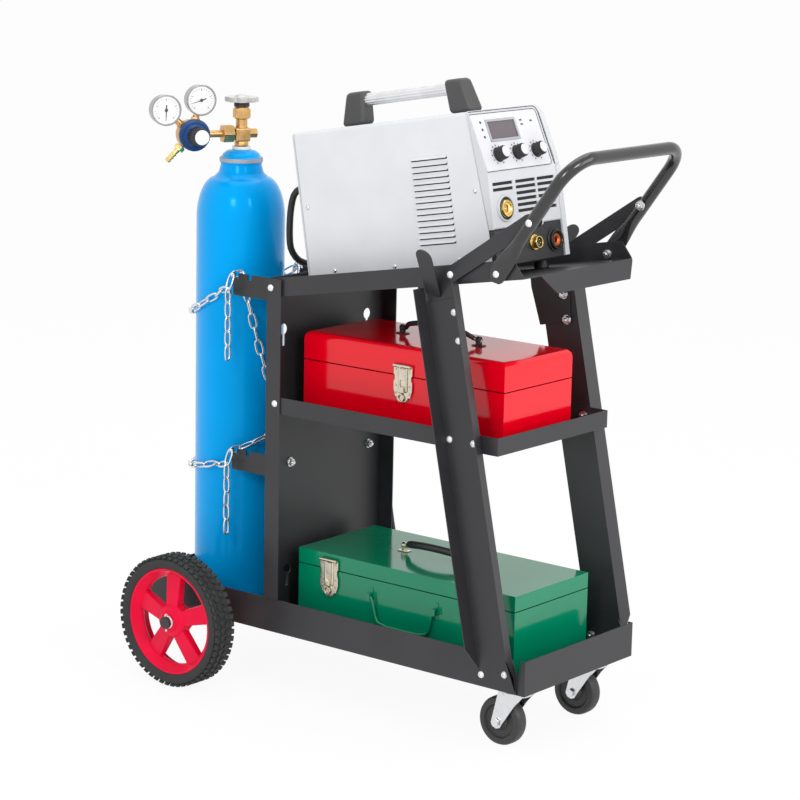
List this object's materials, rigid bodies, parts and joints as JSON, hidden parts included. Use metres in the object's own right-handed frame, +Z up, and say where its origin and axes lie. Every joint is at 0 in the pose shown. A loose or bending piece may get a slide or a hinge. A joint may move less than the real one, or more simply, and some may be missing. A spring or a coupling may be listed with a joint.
{
  "type": "mig welder on cart",
  "caption": "MIG welder on a sloping top tray of a wheeled steel cart, with a chained gas cylinder and regulator behind and toolboxes on the shelves below.",
  "frame": {"origin": "on the floor, under the middle of the whole's length and width, without the mains lead", "axes": "+X towards the casters and the push handle, +Y towards the right side of whoever pushes, +Z up"},
  "size_m": [0.7181, 0.5641, 0.8205],
  "materials": {
    "black_paint": "satin black powder coat",
    "gloss_black_paint": "glossy black enamel",
    "red_plastic": "moulded, slightly glossy",
    "tyre_rubber": "matt black rubber",
    "zinc": "bright zinc plate",
    "caster_rubber": "black rubber tread",
    "blue_enamel": "glossy sky blue enamel",
    "brass": "machined brass",
    "clear_plastic": "pale translucent plastic",
    "blue_plastic": "glossy blue",
    "black_plastic": "fine matt grain",
    "gloss_black_plastic": "glossy black",
    "chrome": "polished",
    "grey_paint": "fine-textured light grey coat",
    "grey_plastic": "moulded grey",
    "handle_plastic": "black grips on a fluted aluminium bar",
    "lead_rubber": "black flexible sheath",
    "red_enamel": "glossy red enamel",
    "green_enamel": "glossy green enamel",
    "nickel": "nickel plate"
  },
  "bodies": {
    "cart": {"base_tray": "black_paint", "middle_shelf": "black_paint", "top_tray": "black_paint", "rear_panel": "black_paint", "upper_cylinder_bracket": "black_paint", "lower_cylinder_bracket": "black_paint", "left_leg": "black_paint", "right_leg": "black_paint", "left_cable_hook": "black_paint", "right_cable_hook": "black_paint", "push_handle": "gloss_black_paint", "left_handle_brace": "black_paint", "right_handle_brace": "black_paint", "left_caster_plate": "zinc", "right_caster_plate": "zinc", "upper_chain": "zinc", "lower_chain": "zinc", "gas_cylinder": "blue_enamel", "cylinder_valve": "brass", "regulator_body": "brass", "regulator_bonnet": "blue_plastic", "contents_gauge": "chrome", "outlet_gauge": "chrome", "red_box": "red_enamel", "green_box": "green_enamel"},
    "left_wheel": {"left_rim": "red_plastic", "left_tyre": "tyre_rubber"},
    "right_wheel": {"right_rim": "red_plastic", "right_tyre": "tyre_rubber"},
    "left_caster": {"left_caster_fork": "zinc"},
    "right_caster": {"right_caster_fork": "zinc"},
    "left_caster_roller": {"left_caster_wheel": "caster_rubber"},
    "right_caster_roller": {"right_caster_wheel": "caster_rubber"},
    "valve_wheel": {"valve_handwheel": "clear_plastic"},
    "regulator_screw": {"regulator_knob": "black_plastic"},
    "welder": {"welder_chassis": "black_plastic", "welder_cover": "grey_paint", "front_fascia": "grey_plastic", "socket_panel": "black_plastic", "torch_socket": "brass", "control_socket": "brass", "earth_socket": "gloss_black_plastic", "carry_handle": "handle_plastic", "welder_rear_cover": "grey_plastic", "mains_lead": "lead_rubber", "lead_coil": "lead_rubber", "mains_plug": "black_plastic"},
    "left_knob": {"left_control_knob": "black_plastic"},
    "middle_knob": {"middle_control_knob": "black_plastic"},
    "right_knob": {"right_control_knob": "black_plastic"},
    "power_rocker": {"power_switch": "black_plastic"},
    "red_lid": {"red_lid": "red_enamel"},
    "red_latch": {"red_latch": "nickel"},
    "red_handle": {"red_handle": "black_plastic"},
    "green_lid": {"green_lid": "green_enamel"},
    "green_latch_rear": {"green_latch_rear": "nickel"},
    "green_latch_front": {"green_latch_front": "nickel"},
    "green_handle": {"green_handle": "black_plastic"},
    "green_bail": {"green_bail": "green_enamel"}
  },
  "joints": [
    {"name": "left_wheel_spin", "type": "hinge", "parent": "cart", "child": "left_wheel", "pos_m": [-0.2364, -0.178, 0.089], "axis": [0, 1, 0], "continuous": true},
    {"name": "right_wheel_spin", "type": "hinge", "parent": "cart", "child": "right_wheel", "pos_m": [-0.2364, 0.178, 0.089], "axis": [0, 1, 0], "continuous": true},
    {"name": "left_caster_swivel", "type": "hinge", "parent": "cart", "child": "left_caster", "pos_m": [0.2556, -0.081, 0.07], "axis": [0, 0, 1], "continuous": true},
    {"name": "right_caster_swivel", "type": "hinge", "parent": "cart", "child": "right_caster", "pos_m": [0.2556, 0.081, 0.07], "axis": [0, 0, 1], "continuous": true},
    {"name": "left_caster_roll", "type": "hinge", "parent": "left_caster", "child": "left_caster_roller", "pos_m": [0.2346, -0.081, 0.03175], "axis": [0, 1, 0], "continuous": true},
    {"name": "right_caster_roll", "type": "hinge", "parent": "right_caster", "child": "right_caster_roller", "pos_m": [0.2346, 0.081, 0.03175], "axis": [0, 1, 0], "continuous": true},
    {"name": "valve_turn", "type": "hinge", "parent": "cart", "child": "valve_wheel", "pos_m": [-0.2884, 0, 0.766], "axis": [0, 0, 1], "range_deg": [0, 720]},
    {"name": "regulator_turn", "type": "hinge", "parent": "cart", "child": "regulator_screw", "pos_m": [-0.3218, -0.06152, 0.72], "axis": [0.8788, -0.4772, 0], "range_deg": [0, 720]},
    {"name": "welder_lift", "type": "slide", "parent": "cart", "child": "welder", "axis": [-0.1719, 0, 0.9851], "range_m": [0, 0.25]},
    {"name": "left_knob_turn", "type": "hinge", "parent": "welder", "child": "left_knob", "pos_m": [0.17404, -0.0435, 0.73426], "axis": [0.9102, 0, 0.4141], "range_deg": [-150, 150]},
    {"name": "middle_knob_turn", "type": "hinge", "parent": "welder", "child": "middle_knob", "pos_m": [0.17404, -0.0045, 0.73426], "axis": [0.9102, 0, 0.4141], "range_deg": [-150, 150]},
    {"name": "right_knob_turn", "type": "hinge", "parent": "welder", "child": "right_knob", "pos_m": [0.17404, 0.0355, 0.73426], "axis": [0.9102, 0, 0.4141], "range_deg": [-150, 150]},
    {"name": "power_switch_rock", "type": "hinge", "parent": "welder", "child": "power_rocker", "pos_m": [-0.12425, -0.053, 0.68878], "axis": [0, 1, 0], "range_deg": [0, 18]},
    {"name": "red_lid_open", "type": "hinge", "parent": "cart", "child": "red_lid", "pos_m": [0.0526, 0.0756, 0.445], "axis": [-1, 0, 0], "range_deg": [0, 12]},
    {"name": "green_lid_open", "type": "hinge", "parent": "cart", "child": "green_lid", "pos_m": [0.0691, 0.0826, 0.172], "axis": [-1, 0, 0], "range_deg": [0, 95]},
    {"name": "red_latch_open", "type": "hinge", "parent": "red_lid", "child": "red_latch", "pos_m": [0.0576, -0.0748, 0.4585], "axis": [-1, 0, 0], "range_deg": [0, 50]},
    {"name": "green_latch_rear_open", "type": "hinge", "parent": "green_lid", "child": "green_latch_rear", "pos_m": [-0.0534, -0.0818, 0.1855], "axis": [-1, 0, 0], "range_deg": [0, 50]},
    {"name": "green_latch_front_open", "type": "hinge", "parent": "green_lid", "child": "green_latch_front", "pos_m": [0.1916, -0.0818, 0.1855], "axis": [-1, 0, 0], "range_deg": [0, 50]},
    {"name": "red_handle_raise", "type": "hinge", "parent": "red_lid", "child": "red_handle", "pos_m": [0.0581, 0, 0.4908], "axis": [-1, 0, 0], "range_deg": [0, 90]},
    {"name": "green_handle_raise", "type": "hinge", "parent": "green_lid", "child": "green_handle", "pos_m": [0.0691, 0, 0.2008], "axis": [-1, 0, 0], "range_deg": [0, 90]},
    {"name": "green_bail_raise", "type": "hinge", "parent": "cart", "child": "green_bail", "pos_m": [0.0706, -0.083, 0.15], "axis": [-1, 0, 0], "range_deg": [0, 90]}
  ]
}
